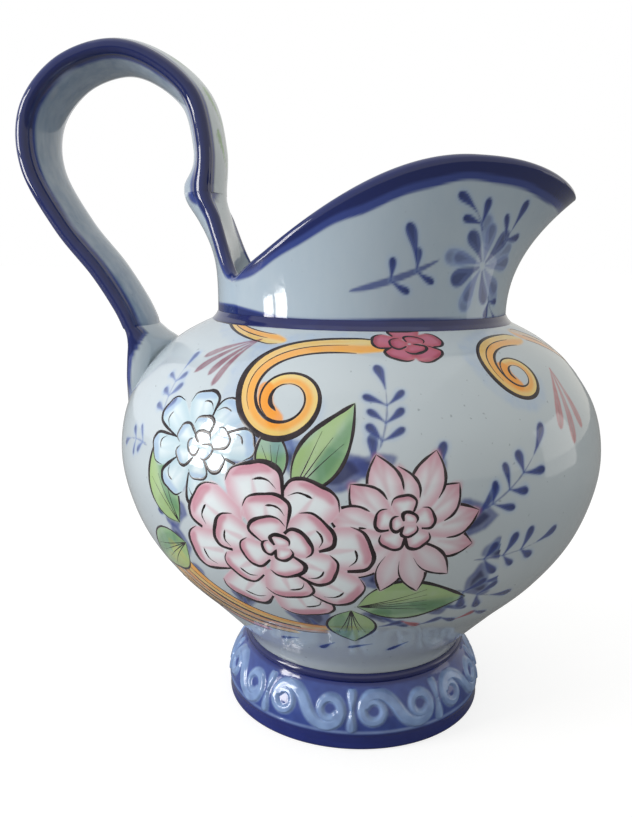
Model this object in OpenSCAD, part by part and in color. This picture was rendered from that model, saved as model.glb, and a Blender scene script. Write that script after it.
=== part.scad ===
// Faience pitcher: a round-bellied jug on a pedestal foot, with a flared spout and a tall strap handle.
// Origin: centre of the foot on the surface that the jug stands on. +X points to the spout, +Z up.

/* [Body] */
// Height of the pedestal foot, under its joint ring
foot_h = 24.5; // [20:0.5:30]
// Radius of the foot where it meets the table
foot_r = 55; // [51:0.5:57]
// Wall of the foot at its narrowest
foot_wall = 7; // [5:0.5:9]
// Wall of the thrown belly
belly_wall = 5.5; // [4:0.5:7]
// Thickness of the belly's floor
floor_t = 7; // [5:0.5:10]

/* [Neck] */
// Outer radius of the neck at its base
neck_r = 59; // [57:0.5:60]
// Outer radius of the rim at the sides
rim_r = 61; // [59:0.5:63]
// Wall of the neck
neck_wall = 5.2; // [4:0.2:6]
// How far the tip of the spout reaches from the axis
spout_reach = 87; // [80:0.5:92]
// Height of the tip of the spout
spout_tip_z = 214; // [206:0.5:216]
// Height of the rim at its highest, along the side of the spout
rim_top_z = 223.5; // [216:0.5:228]
// Height of the rim at the notches beside the handle
notch_z = 181; // [178:0.5:186]

/* [Handle] */
// Width of the strap handle
strap_w = 39; // [36:1:42]
// Thickness of the strap handle at its edges
strap_t = 6; // [5:0.2:7]
// How far the strap's outer face swells along its middle
crown_out = 2.8; // [1:0.2:4]
// How far the face towards the opening swells along its middle
crown_in = 3.8; // [1:0.2:4]
// Swell behind the top joint, where the thumb rests
thumb_swell = 4; // [2:0.5:6]

/* [Hidden] */

glaze = [0.75, 0.82, 0.88];
cobalt = [0.12, 0.16, 0.42];

// Steps along each span of a curve and around a turned piece
span_steps = 6;
turned_fn = 128;

// Outer side of the belly as [radius, height], from the foot joint to the neck joint
foot_ring_h = 3.5;
belly_bottom_z = foot_h + foot_ring_h;
neck_ring_h = 3.5;
neck_z = 167;
belly_top_z = neck_z - neck_ring_h;
belly_side = [
    [46.5, belly_bottom_z], [51.5, 35.5], [65, 50], [79.5, 65], [91, 82], [97.5, 101],
    [98.5, 117], [94.5, 133], [84.5, 147.8], [73.4, 157.2], [61.5, belly_top_z]
];

// The strap's middle line as [x, z], from the top joint over the loop to the base joint
strap_top_z = 215.5;
top_joint_h = 2.5;
tongue_z = strap_top_z - top_joint_h;
strap_root_x = -62.3;
strap_base_z = 160;
strap_base_x = -93;
strap_line = [
    [strap_root_x, strap_top_z], [-62, 231], [-67, 249.5], [-82, 262.2], [-99, 266.2], [-118.4, 259.2],
    [-131.4, 243], [-131.8, 222], [-119.8, 199.5], [-105.8, 182], [-96.8, 168], [strap_base_x, strap_base_z]
];

// Angle at the axis, away from -X, of the tongue's edge at its top and of the notch beside it
tongue_half = asin(strap_w / 2 / norm([strap_root_x, strap_w / 2]));
notch_half = 34;

// A smooth curve through a list of points: each span is a Catmull-Rom cubic
function span_point(a, b, c, d, t) =
    0.5 * (2 * b + (c - a) * t + (2 * a - 5 * b + 4 * c - d) * t * t
        + (3 * b - a - 3 * c + d) * t * t * t);
function clamp_index(i, n) = max(0, min(n - 1, i));
function smooth_curve(pts, steps) =
    let (n = len(pts))
    concat([
        for (i = [0 : n - 2], k = [0 : steps - 1])
            span_point(pts[clamp_index(i - 1, n)], pts[i], pts[i + 1], pts[clamp_index(i + 2, n)], k / steps)
    ], [pts[n - 1]]);

// Direction of a curve at point i, as a unit vector
function heading(path, i) =
    let (n = len(path), v = path[clamp_index(i + 1, n)] - path[clamp_index(i - 1, n)])
    v / norm(v);

// A path moved sideways, to the left of its direction
function move_left(path, d) =
    [for (i = [0 : len(path) - 1]) let (h = heading(path, i)) path[i] + d * [-h[1], h[0]]];

function ease(t) = let (u = max(0, min(1, t))) u * u * (3 - 2 * u);

// A solid skinned over rings of equal length, with flat fans as its two ends
module skin(rings) {
    m = len(rings[0]);
    last = (len(rings) - 1) * m;
    points = [for (ring = rings) each ring];
    sides = [
        for (i = [0 : len(rings) - 2], j = [0 : m - 1])
            let (k = (j + 1) % m, a = i * m)
            each [[a + j, a + k, a + m + k], [a + j, a + m + k, a + m + j]]
    ];
    bottom = [[for (j = [m - 1 : -1 : 0]) j]];
    top = [[for (j = [0 : m - 1]) last + j]];
    polyhedron(points, concat(sides, bottom, top));
}

// ---- Turned pieces ----

belly_outer = smooth_curve(belly_side, span_steps);
belly_inner = [
    for (p = move_left(belly_outer, belly_wall))
        if (p[1] > belly_bottom_z + floor_t && p[1] < belly_top_z - 1) p
];

module belly() {
    color(glaze)
        rotate_extrude($fn = turned_fn)
            polygon(concat(
                [[0, belly_bottom_z]],
                belly_outer,
                [[neck_r - neck_wall, belly_top_z]],
                [for (i = [len(belly_inner) - 1 : -1 : 0]) belly_inner[i]],
                [[0, belly_bottom_z + floor_t]]
            ));
}

module belly_envelope() {
    rotate_extrude($fn = turned_fn)
        polygon(concat([[0, belly_bottom_z]], belly_outer, [[0, belly_top_z]]));
}

// The foot: a flared pedestal, open underneath, with a rounded standing rim
foot_top_r = 47;
foot_side = [
    [foot_r - 2, 0], [foot_r - 0.4, 0.7], [foot_r, 3], [foot_r, 8],
    [foot_r - 1.2, 14], [foot_r - 4.2, 20], [foot_top_r, foot_h]
];
module foot() {
    color(cobalt)
        rotate_extrude($fn = turned_fn)
            polygon(concat(
                smooth_curve(foot_side, 4),
                [[foot_top_r - foot_wall - 2, foot_h],
                 [foot_r - foot_wall - 1.5, 2.5],
                 [foot_r - foot_wall, 0]]
            ));
}

// The rolled ring of clay in the crease between foot and belly
ring_bulge = 1.6;
module foot_joint_ring() {
    color(cobalt)
        rotate_extrude($fn = turned_fn)
            polygon(concat(
                [[foot_top_r - foot_wall - 2, foot_h]],
                [for (a = [-90 : 15 : 90])
                    [foot_top_r - 0.5 + ring_bulge * cos(a), foot_h + foot_ring_h / 2 * (1 + sin(a))]],
                [[foot_top_r - foot_wall - 2, belly_bottom_z]]
            ));
}

// The low collar of clay that ties the neck to the shoulder
module neck_joint_ring() {
    color(cobalt)
        rotate_extrude($fn = turned_fn)
            polygon([
                [neck_r - neck_wall, belly_top_z],
                [neck_r + 2.5, belly_top_z],
                [neck_r + 1, belly_top_z + neck_ring_h * 0.45],
                [neck_r, neck_z],
                [neck_r - neck_wall, neck_z]
            ]);
}

// ---- Neck ----

// Reach of the rim from the axis at angle a from +X: round at the back, drawn out to the spout
spout_sharpness = 7;
function rim_reach(a) = rim_r + (spout_reach - rim_r) * pow((1 + cos(a)) / 2, spout_sharpness);

// Height of the rim where it is at x: a rising sine to the side of the spout, then a dip to its tip
crest_x = 40;
function rim_height(x) =
    let (rise = (x + notch_x) / (crest_x + notch_x), dip = (x - crest_x) / (spout_reach - crest_x))
    x < crest_x
        ? notch_z + (rim_top_z - notch_z) * sin(90 * max(0, rise))
        : rim_top_z - (rim_top_z - spout_tip_z) * pow(dip, 2.5);
notch_x = neck_r * cos(notch_half);

// Height of the wall's top at angle b away from -X: flat under the strap, then down to the notch
function top_height(b) =
    b <= tongue_half ? tongue_z
    : b <= notch_half
        ? notch_z + (tongue_z - notch_z) * pow((notch_half - b) / (notch_half - tongue_half), 1.9)
        : rim_height(-rim_reach(180 - b) * cos(b));

// Middle of the wall, as a distance from the axis. The front flares to the rim, and the back
// leans out as a tongue that ends flat, under the strap
flare_power = 2.1;
lean_power = 2.5;
base_mid = neck_r - neck_wall / 2;
function wall_mid(b, z, top) =
    let (up = (z - neck_z) / (top - neck_z),
        up_tongue = (z - neck_z) / (tongue_z - neck_z),
        front = base_mid + (rim_reach(180 - b) - neck_wall / 2 - base_mid) * pow(up, flare_power),
        back = base_mid + (-strap_root_x / cos(min(b, 60)) - base_mid) * pow(up_tongue, lean_power),
        share = ease((55 - b) / 25))
    front * (1 - share) + back * share;

// Swell behind the tongue and the strap's root, at height z and distance y from the middle
swell_below = 16;
swell_above = 6;
function swell(y, z) =
    let (reach = z < strap_top_z ? swell_below : swell_above)
    thumb_swell * exp(-pow((z - strap_top_z) / reach, 2)) * max(0, 1 - pow(2 * y / strap_w, 2));

// Half thickness of the wall, at angle b and distance y from the middle: it grows into the
// strap's section at the top of the tongue
function half_wall(b, y, z, crown) =
    let (share = ease((50 - b) / 20) * ease((z - notch_z) / (tongue_z - notch_z)))
    (neck_wall * (1 - share) + strap_t * share) / 2 + share * crown_at(y, crown);

// A crown across the strap: full in the middle, and none where its edges begin to round
function crown_at(y, crown) = crown * max(0, 1 - pow(2 * y / (strap_w - strap_t), 2));

wall_rows = 11;
round_rows = 4;
// One column of the neck's wall at angle a from +X: up outside, over the rim, down inside
function neck_column(a) =
    let (b = abs(180 - a),
        rounding = ease((b - tongue_half) / 1.5),
        top = top_height(b) - rounding * neck_wall / 2,
        up = [for (i = [0 : wall_rows]) neck_z + (top - neck_z) * i / wall_rows])
    concat(
        [for (z = up) let (mid = wall_mid(b, z, top))
            wall_point(a, mid + half_wall(b, mid * sin(b), z, crown_in), z, 1)],
        [for (k = [1 : round_rows - 1])
            let (t = 180 * k / round_rows, mid = wall_mid(b, top, top), y = mid * sin(b),
                h = half_wall(b, y, top, cos(t) > 0 ? crown_in : crown_out))
            wall_point(a, mid + h * cos(t), top + h * sin(t) * rounding, 1 - k / round_rows)],
        [for (i = [wall_rows : -1 : 0]) let (z = up[i], mid = wall_mid(b, z, top))
            wall_point(a, mid - half_wall(b, mid * sin(b), z, crown_out), z, 0)]
    );
function wall_point(a, r, z, swell_share) =
    let (x = r * cos(a), y = r * sin(a))
    [x + (cos(a) < 0 ? -swell(y, z) * swell_share : 0), y, z];

// Columns stand close together where the tongue rises
function half_turn() = concat(
    [for (a = [0 : 6 : 138]) a],
    [for (b = [38 : -1 : 15]) 180 - b],
    [for (b = [12 : -4 : 4]) 180 - b],
    [180]
);
turn = let (h = half_turn()) concat(h, [for (i = [len(h) - 2 : -1 : 1]) 360 - h[i]]);

module neck() {
    columns = [for (a = turn) neck_column(a)];
    n = len(columns);
    m = len(columns[0]);
    points = [for (column = columns) each column];
    faces = [
        for (i = [0 : n - 1], j = [0 : m - 1])
            let (i2 = (i + 1) % n, j2 = (j + 1) % m)
            each [
                [i * m + j, i * m + j2, i2 * m + j2],
                [i * m + j, i2 * m + j2, i2 * m + j]
            ]
    ];
    color(glaze)
        polyhedron(points, faces);
}

// ---- Handle ----

// The strap's section as [across, through]: crowned faces and half-round edges
edge_steps = 4;
function face_point(y, side) =
    let (across = y * (strap_w - strap_t) / 2)
    [across, side * (strap_t / 2 + crown_at(across, side > 0 ? crown_out : crown_in))];
function edge_point(t, side) =
    [side * (strap_w - strap_t) / 2 + strap_t / 2 * cos(t), strap_t / 2 * sin(t)];
function strap_section() = concat(
    [for (y = [-0.75 : 0.25 : 0.75]) face_point(y, -1)],
    [for (k = [0 : edge_steps]) edge_point(-90 + 180 * k / edge_steps, 1)],
    [for (y = [0.75 : -0.25 : -0.75]) face_point(y, 1)],
    [for (k = [0 : edge_steps]) edge_point(90 + 180 * k / edge_steps, -1)]
);

// The side of the strap that faces the opening swells at its root
function strap_ring(p, dir) = [
    for (s = strap_section())
        let (normal = [dir[1], -dir[0]],
            x = p[0] + normal[0] * s[1],
            z = p[1] + normal[1] * s[1],
            inward = s[1] < 0 ? 1 : max(0, 0.5 - s[1] / strap_t))
        [x - (x > -80 ? swell(s[0], z) * inward : 0), s[0], z]
];

strap_path = smooth_curve(strap_line, 5);
function strap_heading(i) =
    i == 0 ? [0, 1] : i == len(strap_path) - 1 ? [0, -1] : heading(strap_path, i);

module handle() {
    color(glaze)
        skin([for (i = [0 : len(strap_path) - 1]) strap_ring(strap_path[i], strap_heading(i))]);
}

// Slip between the tongue and the strap
module handle_top_joint() {
    root = [strap_root_x, strap_top_z];
    ring = strap_ring(root, [0, 1]);
    color(glaze)
        skin([
            [for (p = ring) [p[0], p[1], tongue_z]],
            ring
        ]);
}

// Clay smeared down from the strap's end onto the shoulder, as [z, middle x, depth towards
// the belly, half width]. Its outer face keeps the strap's shape
base_depth = strap_t / 2 + crown_in;
base_tail = [
    [120, -93.6, 6, 6], [130, -93.2, 7, 12], [138, -92.6, 12, 17], [146, -91.8, 15, 19],
    [152.5, -91.2, 15.5, 19.5], [157, -91.7, 9.5, 19.5], [strap_base_z, strap_base_x, base_depth, strap_w / 2]
];
function tail_ring(row) = [
    for (s = strap_section())
        let (inward = s[1] < 0 ? row[2] / base_depth : 1)
        [row[1] - s[1] * inward, s[0] * 2 * row[3] / strap_w, row[0]]
];

module handle_base_joint() {
    color(glaze)
        difference() {
            skin([for (row = base_tail) tail_ring(row)]);
            belly_envelope();
        }
}

foot();
foot_joint_ring();
belly();
neck_joint_ring();
neck();
handle_top_joint();
handle();
handle_base_joint();
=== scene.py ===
import math

import bpy
import numpy as np
from mathutils import Matrix, Vector


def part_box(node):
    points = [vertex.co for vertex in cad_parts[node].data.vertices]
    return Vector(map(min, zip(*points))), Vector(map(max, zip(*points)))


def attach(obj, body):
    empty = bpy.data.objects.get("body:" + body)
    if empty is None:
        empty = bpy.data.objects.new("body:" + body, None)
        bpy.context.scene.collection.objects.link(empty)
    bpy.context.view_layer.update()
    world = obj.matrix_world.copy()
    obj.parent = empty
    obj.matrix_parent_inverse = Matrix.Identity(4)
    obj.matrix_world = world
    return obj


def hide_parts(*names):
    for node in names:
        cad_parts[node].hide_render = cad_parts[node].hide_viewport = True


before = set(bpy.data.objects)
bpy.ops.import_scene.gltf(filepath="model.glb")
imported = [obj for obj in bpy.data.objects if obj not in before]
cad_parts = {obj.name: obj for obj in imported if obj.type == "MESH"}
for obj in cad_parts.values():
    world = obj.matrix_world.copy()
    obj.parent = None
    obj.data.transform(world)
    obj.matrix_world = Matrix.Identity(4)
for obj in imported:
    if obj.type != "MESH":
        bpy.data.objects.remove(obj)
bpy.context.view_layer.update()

# Lengths are in millimetres until a mesh is made. Angles round the axis are in degrees
# from -Y, the painted front, towards +X, the spout.
MM = 0.001


def corners(node):
    low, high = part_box(node)
    return np.array(low) / MM, np.array(high) / MM


def new_object(name, data):
    thing = bpy.data.objects.new(name, data)
    bpy.context.scene.collection.objects.link(thing)
    return thing


# ---- curves

def smooth_curve(points, steps):
    """A Catmull-Rom curve through points, with this many steps in each span."""
    points = np.asarray(points, float)
    last = len(points) - 1
    t = np.linspace(0, 1, steps, endpoint=False)[:, None]
    curve = []
    for i in range(last):
        a, b = points[max(i - 1, 0)], points[i]
        c, d = points[i + 1], points[min(i + 2, last)]
        curve.append(0.5 * (2 * b + (c - a) * t + (2 * a - 5 * b + 4 * c - d) * t**2
                            + (3 * b - a - 3 * c + d) * t**3))
    curve.append(points[-1:])
    return np.concatenate(curve)


def flowing(points, steps):
    """A smooth curve, or a straight line when there are only two points."""
    return smooth_curve(points, steps) if len(points) > 2 else np.linspace(points[0], points[1], 9)


def arc_length(path):
    steps = np.linalg.norm(np.diff(path, axis=0), axis=-1)
    return np.concatenate([np.zeros((1,) + steps.shape[1:]), np.cumsum(steps, axis=0)])


def even_steps(path, step):
    """The same path with equal steps, near to this length."""
    length = arc_length(path)
    where = np.linspace(0, length[-1], max(2, round(length[-1] / step) + 1))
    return np.stack([np.interp(where, length, path[:, k]) for k in range(path.shape[1])], 1)


def ease(t):
    t = np.clip(t, 0, 1)
    return t * t * (3 - 2 * t)


def to_units(vectors):
    return vectors / np.linalg.norm(vectors, axis=-1, keepdims=True)


def no_paint(points):
    """A colour and its cover for each point of a grid, with nothing on it yet."""
    return np.zeros(points.shape[:2] + (4,))


def turned(outline, angles):
    """A grid of points: an outline of [radius, height] turned to each angle."""
    a = np.radians(angles)[None, :]
    radius, height = outline[:, :1], outline[:, 1:]
    return np.stack([radius * np.sin(a), -radius * np.cos(a), height + 0 * a], -1)


# ---- meshes

class Shape:
    """Points in mm and faces, gathered from grids, with a colour and its cover at each point."""

    sharp_edge = math.radians(50)

    def __init__(self):
        self.points, self.faces, self.paint, self.count = [], [], [], 0

    def add_points(self, points, paint=None):
        points = points.reshape(-1, 3)
        start = self.count
        self.points.append(points)
        self.paint.append(np.zeros((len(points), 4)) if paint is None else paint.reshape(-1, 4))
        self.count += len(points)
        return start

    def add_grid(self, points, paint=None, closed=False):
        """Quads over points[rows, columns, 3], where the last column meets the first: closed joins
        the last row to the first as well."""
        rows, columns = points.shape[:2]
        start = self.add_points(points, paint)
        index = start + np.arange(rows * columns).reshape(rows, columns)
        right = np.roll(index, -1, 1)
        quads = np.stack([index, right, np.roll(right, -1, 0), np.roll(index, -1, 0)], -1)
        self.faces.append((quads if closed else quads[:-1]).reshape(-1, 4))
        return start

    def add_fan(self, ring, centre):
        """Triangles from a ring of point numbers to a new centre point."""
        hub = self.add_points(np.array(centre, float))
        self.faces.append(np.stack([ring, np.roll(ring, -1), np.full(len(ring), hub)], -1))

    def add_tube(self, rings, paint=None):
        """A closed tube over rings of points, with a fan at each end."""
        start = self.add_grid(rings, paint)
        ring = start + np.arange(rings.shape[1])
        self.add_fan(ring[::-1], rings[0].mean(0))
        self.add_fan(ring + (len(rings) - 1) * len(ring), rings[-1].mean(0))

    def build(self, name, material, node, slot):
        mesh = bpy.data.meshes.new(name)
        faces = [face for some in self.faces for face in some.tolist()]
        mesh.from_pydata(np.concatenate(self.points) * MM, [], faces)
        mesh.validate()
        colours = mesh.color_attributes.new("paint", "FLOAT_COLOR", "POINT")
        colours.data.foreach_set("color", np.concatenate(self.paint).astype(np.float32).ravel())
        mesh.shade_smooth()
        mesh.set_sharp_from_angle(angle=self.sharp_edge)
        mesh.materials.append(material)
        piece = new_object(name, mesh)
        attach(piece, "root")
        if node:
            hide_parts(node)


# ---- materials

def srgb(red, green, blue):
    """A colour given in 0 to 255 display steps, as linear light."""
    c = np.array([red, green, blue]) / 255
    return np.where(c <= 0.04045, c / 12.92, ((c + 0.055) / 1.055) ** 2.4)


class Nodes:
    """Short names for building the node tree of a material or a world."""

    def __init__(self, owner):
        owner.use_nodes = True
        self.owner = owner
        self.tree = owner.node_tree

    def add(self, kind, inputs=(), **settings):
        node = self.tree.nodes.new(kind)
        for key, value in settings.items():
            setattr(node, key, value)
        for key, value in dict(inputs).items():
            self.put(node.inputs[key], value)
        return node

    def put(self, socket, value):
        if isinstance(value, bpy.types.NodeSocket):
            self.tree.links.new(value, socket)
        else:
            socket.default_value = value

    def noise(self, scale, detail, stretch=None):
        place = self.add("ShaderNodeTexCoord").outputs["Object"]
        if stretch:
            place = self.add("ShaderNodeMapping", {"Vector": place, "Scale": stretch}).outputs[0]
        return self.add("ShaderNodeTexNoise",
                        {"Vector": place, "Scale": scale, "Detail": detail}).outputs["Fac"]

    def ramp(self, value, low, high, first, last):
        """A value from low to high turned into a number between first and last."""
        return self.add("ShaderNodeMapRange", {"Value": value, "From Min": low, "From Max": high,
                                               "To Min": first, "To Max": last}).outputs[0]

    def mix(self, share, first, second):
        node = self.add("ShaderNodeMix", data_type="RGBA")
        for key, value in ((0, share), (6, first), (7, second)):
            value = (*value, 1) if isinstance(value, (tuple, np.ndarray)) else value
            self.put(node.inputs[key], value)
        return node.outputs[2]

    def math(self, operation, first, second):
        return self.add("ShaderNodeMath", {0: first, 1: second}, operation=operation).outputs[0]

    def glaze(self, colour, noise_scale, smooth, rough, coat=0.0, bumps=()):
        """A clear glaze over a colour, from smooth to rough, with bumps laid over each other, each as
        (noise scale, detail, depth in metres)."""
        sockets = self.tree.nodes["Principled BSDF"].inputs
        self.put(sockets["Base Color"], colour)
        self.put(sockets["Roughness"], self.ramp(self.noise(noise_scale, 2), 0.3, 0.7, smooth, rough))
        sockets["IOR"].default_value = 1.5
        sockets["Coat Weight"].default_value = coat
        sockets["Coat Roughness"].default_value = 0.04
        normal = None
        for scale, detail, depth in bumps:
            node = self.add("ShaderNodeBump", {"Height": self.noise(scale, detail), "Distance": depth,
                                               "Strength": 1.0})
            if normal:
                self.put(node.inputs["Normal"], normal)
            normal = node.outputs[0]
        if normal:
            self.put(sockets["Normal"], normal)
        return self.owner


def painted_glaze():
    """White tin glaze with a blue cast, and thin brushed colours from the paint attribute."""
    n = Nodes(bpy.data.materials.new("painted_glaze"))
    ground = n.mix(n.ramp(n.noise(14, 3), 0.35, 0.65, 0, 1), srgb(183, 194, 202), srgb(193, 203, 209))
    speck = n.ramp(n.noise(520, 1), 0.74, 0.80, 0, 0.5)
    ground = n.mix(speck, ground, srgb(120, 130, 140))
    paint = n.add("ShaderNodeAttribute", attribute_name="paint")
    # Brush marks show in a thin wash and vanish in a full one
    streak = n.ramp(n.noise(240, 4, (1, 1, 0.4)), 0.3, 0.7, 0.65, 1.65)
    cover = n.math("POWER", paint.outputs["Alpha"], streak)
    return n.glaze(n.mix(cover, ground, paint.outputs["Color"]), 60, 0.045, 0.09, 0.25,
                   ((22, 1, 0.0006), (230, 2, 0.00004)))


def cobalt_glaze():
    """Cobalt under a clear glaze: deep where it pools, pale where the clay stands up through it."""
    n = Nodes(bpy.data.materials.new("cobalt_glaze"))
    streak = n.ramp(n.noise(90, 4, (1, 1, 4)), 0.3, 0.7, 0, 1)
    deep = n.mix(streak, srgb(18, 26, 76), srgb(34, 48, 112))
    paint = n.add("ShaderNodeAttribute", attribute_name="paint")
    cover = n.math("MULTIPLY", paint.outputs["Alpha"], n.ramp(n.noise(150, 3), 0.3, 0.7, 0.75, 1.1))
    return n.glaze(n.mix(cover, deep, paint.outputs["Color"]), 60, 0.07, 0.14, 0.3,
                   ((30, 1, 0.0006), (260, 2, 0.00004)))


def line_enamel():
    """The brown-black of the drawn outlines."""
    n = Nodes(bpy.data.materials.new("line_enamel"))
    tone = n.ramp(n.noise(300, 3), 0.3, 0.75, 0, 1)
    return n.glaze(n.mix(tone, srgb(24, 18, 22), srgb(58, 46, 50)), 120, 0.12, 0.22)


glaze_material = painted_glaze()
cobalt_material = cobalt_glaze()
line_material = line_enamel()


# ---- camera, floor and light

white = (1, 1, 1, 1)


def look_from(place, turn, down, roll):
    """A camera matrix: at place, turned from +Y towards +X, tipped down, and rolled, in degrees."""
    matrix = Matrix.Translation(place)
    for degrees, axis in ((-turn, "Z"), (90 - down, "X"), (roll, "Z")):
        matrix @= Matrix.Rotation(math.radians(degrees), 4, axis)
    return matrix


def make_camera():
    data = bpy.data.cameras.new("camera")
    data.sensor_width = 36
    data.lens = 35.25
    data.clip_start = 0.01
    camera = new_object("camera", data)
    camera.matrix_world = look_from((0, -0.3364, 0.1879), -3.09, 10.62, 0.72)
    bpy.context.scene.camera = camera


def make_floor():
    """A sheet of paper that looks white, but throws little light back onto the pot."""
    n = Nodes(bpy.data.materials.new("floor_paper"))
    sockets = n.tree.nodes["Principled BSDF"].inputs
    tone = n.ramp(n.noise(6, 2), 0.3, 0.7, 0.28, 0.30)
    n.put(sockets["Base Color"], n.mix(tone, (0, 0, 0), (1, 1, 1)))
    sockets["Roughness"].default_value = 0.9
    sockets["Emission Color"].default_value = white
    seen = n.add("ShaderNodeLightPath").outputs["Is Camera Ray"]
    n.put(sockets["Emission Strength"], n.math("MULTIPLY", seen, 0.78))
    half = 12
    mesh = bpy.data.meshes.new("floor")
    mesh.from_pydata([(-half, -half, 0), (half, -half, 0), (half, half, 0), (-half, half, 0)], [],
                     [(0, 1, 2, 3)])
    mesh.materials.append(n.owner)
    floor = new_object("floor", mesh)


def make_room():
    """Cool light from the window's side, on the left, and warmer light on the right. The camera
    itself sees plain white."""
    world = bpy.data.worlds.new("studio")
    bpy.context.scene.world = world
    n = Nodes(world)
    direction = n.add("ShaderNodeTexCoord").outputs["Generated"]
    across = n.add("ShaderNodeSeparateXYZ", {0: direction}).outputs["X"]
    side = n.add("ShaderNodeMapRange", {"Value": across, "From Min": -0.9, "From Max": 0.9},
                 interpolation_type="SMOOTHSTEP").outputs[0]
    room = n.tree.nodes["Background"]
    n.put(room.inputs["Color"], n.mix(side, (0.69, 0.715, 0.745), (0.71, 0.69, 0.63)))
    plain = n.add("ShaderNodeBackground", {"Color": white})
    seen = n.add("ShaderNodeLightPath").outputs["Is Camera Ray"]
    either = n.add("ShaderNodeMixShader", {0: seen, 1: room.outputs[0], 2: plain.outputs[0]})
    n.put(n.tree.nodes["World Output"].inputs[0], either.outputs[0])


def area_light(name, place, size, power, colour=(1, 1, 1)):
    """A lit rectangle that faces the middle of the pitcher."""
    data = bpy.data.lights.new(name, "AREA")
    data.shape = "RECTANGLE"
    data.size, data.size_y = size
    data.energy = power
    data.color = colour
    light = new_object(name, data)
    light.location = place
    away = (light.location - Vector((0, 0, 0.12))).normalized()
    light.rotation_euler = away.to_track_quat("Z", "Y").to_euler()


def make_lights():
    """The panes of a tall window, to the left of the painted side, and what is bright elsewhere."""
    for across in (-0.09, 0.09):
        for height in (0.16, 0.35, 0.54):
            area_light("window_pane", (-0.82 + across * 0.45, -0.36 - across * 0.9, height),
                       (0.15, 0.16), 1.05, (1, 0.98, 0.95))
    area_light("far_window", (0.95, 0.12, 0.22), (0.40, 0.46), 0.47, (1, 0.98, 0.94))
    area_light("ceiling_bounce", (0.0, 0.1, 1.2), (1.2, 1.2), 1.2)


make_camera()
make_floor()
make_room()
make_lights()
bpy.context.scene.view_settings.view_transform = "Standard"


# ---- painting

def brush(x, y, path, widths):
    """How far inside a brush stroke each point is, in mm: below 0 outside it."""
    inside = np.full(x.shape, -1e9)
    for p, q, first, last in zip(path, path[1:], widths, widths[1:]):
        d = q - p
        t = np.clip(((x - p[0]) * d[0] + (y - p[1]) * d[1]) / max(d @ d, 1e-9), 0, 1)
        gap = np.hypot(x - p[0] - t * d[0], y - p[1] - t * d[1])
        inside = np.maximum(inside, first + (last - first) * t - gap)
    return inside


def in_outline(x, y, path):
    """How far inside a closed outline each point is, in mm: below 0 outside it."""
    closed = np.concatenate([path, path[:1]])
    gap = -brush(x, y, closed, np.zeros(len(closed)))
    odd = np.zeros(x.shape, bool)
    for p, q in zip(closed, closed[1:]):
        crosses = (p[1] > y) != (q[1] > y)
        with np.errstate(divide="ignore", invalid="ignore"):
            at = p[0] + (y - p[1]) * (q[0] - p[0]) / (q[1] - p[1])
        odd ^= crosses & (x < at)
    return np.where(odd, gap, -gap)


def within(x, y, path, margin):
    """Which points lie in the box round a path."""
    low, high = path.min(0) - margin, path.max(0) + margin
    return np.flatnonzero((x > low[0]) & (x < high[0]) & (y > low[1]) & (y < high[1]))


def lay(paint, cover, colour):
    """Colour laid over what is there."""
    below = paint[..., 3] * (1 - cover)
    total = cover + below
    mixed = cover[..., None] * colour + below[..., None] * paint[..., :3]
    paint[..., :3] = mixed / np.maximum(total, 1e-6)[..., None]
    paint[..., 3] = total


# How a stroke's half width runs from its start, at 0, to its end, at 1
STROKES = {
    "line": lambda t: np.sin(np.pi * np.clip(t, 0, 1) ** 0.8) ** 0.55,
    "press": lambda t: np.clip(t * 1.6, 0, 1) ** 0.8 * np.clip((1 - t) * 9, 0, 1) ** 0.6,
    "drop": lambda t: (0.10 + 0.90 * t**1.3) * np.sqrt(np.clip(1 - (t * 1.02) ** 9, 0, 1)),
    "flick": lambda t: np.clip(1 - t, 0, 1) ** 0.7 * np.clip(t * 14, 0, 1),
    "even": lambda t: np.ones_like(t),
    "taper": lambda t: np.clip(t * 12, 0, 1) ** 0.5 * (1 - 0.62 * t),
}


class Canvas:
    """The grid of a painted surface, as [rows up it, columns round it], with a colour and its cover
    at each point. arc is how far up the surface each point is."""

    def __init__(self, points, angles):
        self.points = points
        self.angles = angles
        self.radius = np.hypot(points[..., 0], points[..., 1])
        self.arc = arc_length(points)
        self.paint = no_paint(points)
        wide = np.concatenate([points[:, -1:], points, points[:, :1]], 1)
        self.normal = to_units(np.cross(wide[:, 2:] - wide[:, :-2], np.gradient(points, axis=0)))

    def offset(self, angle, arc):
        """Distances of every point from a place, round the surface and up it."""
        turn = (self.angles - angle + 180) % 360 - 180
        return np.radians(turn)[None, :] * self.radius, self.arc - arc

    def column(self, angle):
        """The number of the column at an angle, with its part of a step."""
        steps = np.append((self.angles - self.angles[0]) % 360, 360)
        return np.interp((angle - self.angles[0]) % 360, steps, np.arange(len(steps)))

    def sample(self, grid, row, column):
        """The grid's value between its points."""
        rows, columns = grid.shape[:2]
        i = np.clip(row.astype(int), 0, rows - 2)
        j = column.astype(int) % columns
        k = (j + 1) % columns
        v, u = (row - i)[:, None], (column - column.astype(int))[:, None]
        return ((grid[i, j] * (1 - u) + grid[i, k] * u) * (1 - v)
                + (grid[i + 1, j] * (1 - u) + grid[i + 1, k] * u) * v)

    def surface(self, angle, arc, x, y):
        """Points and normals at distances x round the surface and y up it from a place."""
        column = np.full(len(x), np.floor(self.column(angle)))
        for _ in range(4):
            nearest = np.rint(column).astype(int) % len(self.angles)
            row = np.array([np.interp(a, self.arc[:, j], np.arange(len(self.arc)))
                            for a, j in zip(arc + y, nearest)])
            spot = (row, column)
            radius = self.sample(self.radius[..., None], *spot)[:, 0]
            column = self.column(angle + np.degrees(x / radius))
        return self.sample(self.points, *spot), self.sample(self.normal, *spot)


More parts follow.
